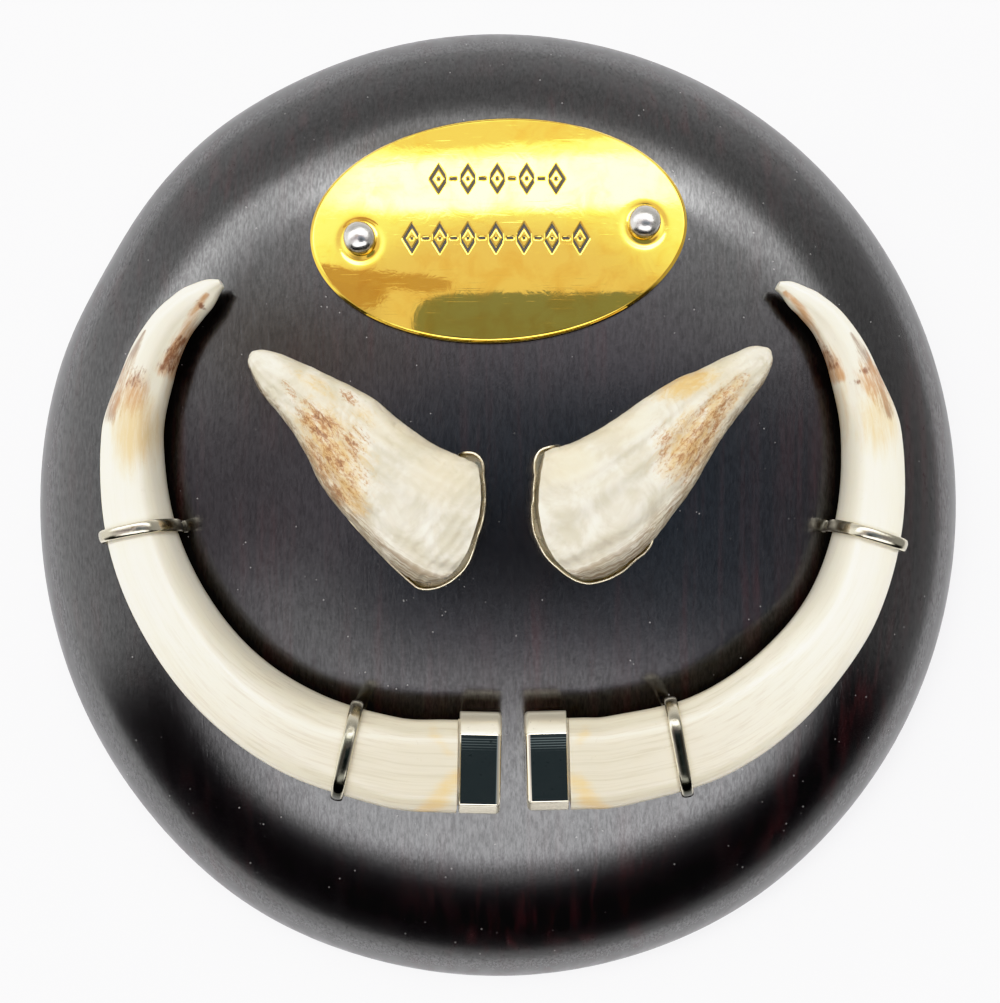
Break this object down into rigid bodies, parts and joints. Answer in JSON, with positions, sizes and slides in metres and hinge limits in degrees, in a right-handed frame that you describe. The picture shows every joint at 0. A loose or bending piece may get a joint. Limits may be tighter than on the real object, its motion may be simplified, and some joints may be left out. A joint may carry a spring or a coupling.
{
  "type": "mounted wild boar tusks",
  "caption": "Wild boar lower tusks and grinders mounted on a round dark varnished wooden plaque, with metal caps, cups, wire loops and an oval brass plate.",
  "frame": {"origin": "middle of the plaque's flat back, at the base of the object as it lies face up", "axes": "+X to the viewer's right, +Y to the top of the plaque where the plate is, +Z out of the face"},
  "size_m": [0.233, 0.2398, 0.0433],
  "materials": {
    "stained_wood": "near-black glossy varnish over fine vertical grain",
    "tusk_ivory": "polished cream ivory with tan and brown stains near the tip",
    "grinder_enamel": "satin cream tooth with broad grooves and orange-brown stain",
    "nickel_silver": "mirror-polished nickel silver",
    "nickel_wire": "polished flattened wire, slightly tarnished",
    "cup_metal": "thin pale sheet metal with a bright rim",
    "polished_brass": "mirror-polished brass, finely scratched, with a stamped plain ornament",
    "nail_steel": "bright domed nail head, worn on top"
  },
  "bodies": {
    "root": {"plaque": "stained_wood", "left_lower_tusk": "tusk_ivory", "right_lower_tusk": "tusk_ivory", "left_grinder": "grinder_enamel", "right_grinder": "grinder_enamel", "left_end_cap": "nickel_silver", "right_end_cap": "nickel_silver", "left_upper_wire_loop": "nickel_wire", "left_lower_wire_loop": "nickel_wire", "right_upper_wire_loop": "nickel_wire", "right_lower_wire_loop": "nickel_wire", "left_grinder_cup": "cup_metal", "right_grinder_cup": "cup_metal", "name_plate": "polished_brass", "left_plate_nail": "nail_steel", "right_plate_nail": "nail_steel"}
  },
  "joints": []
}
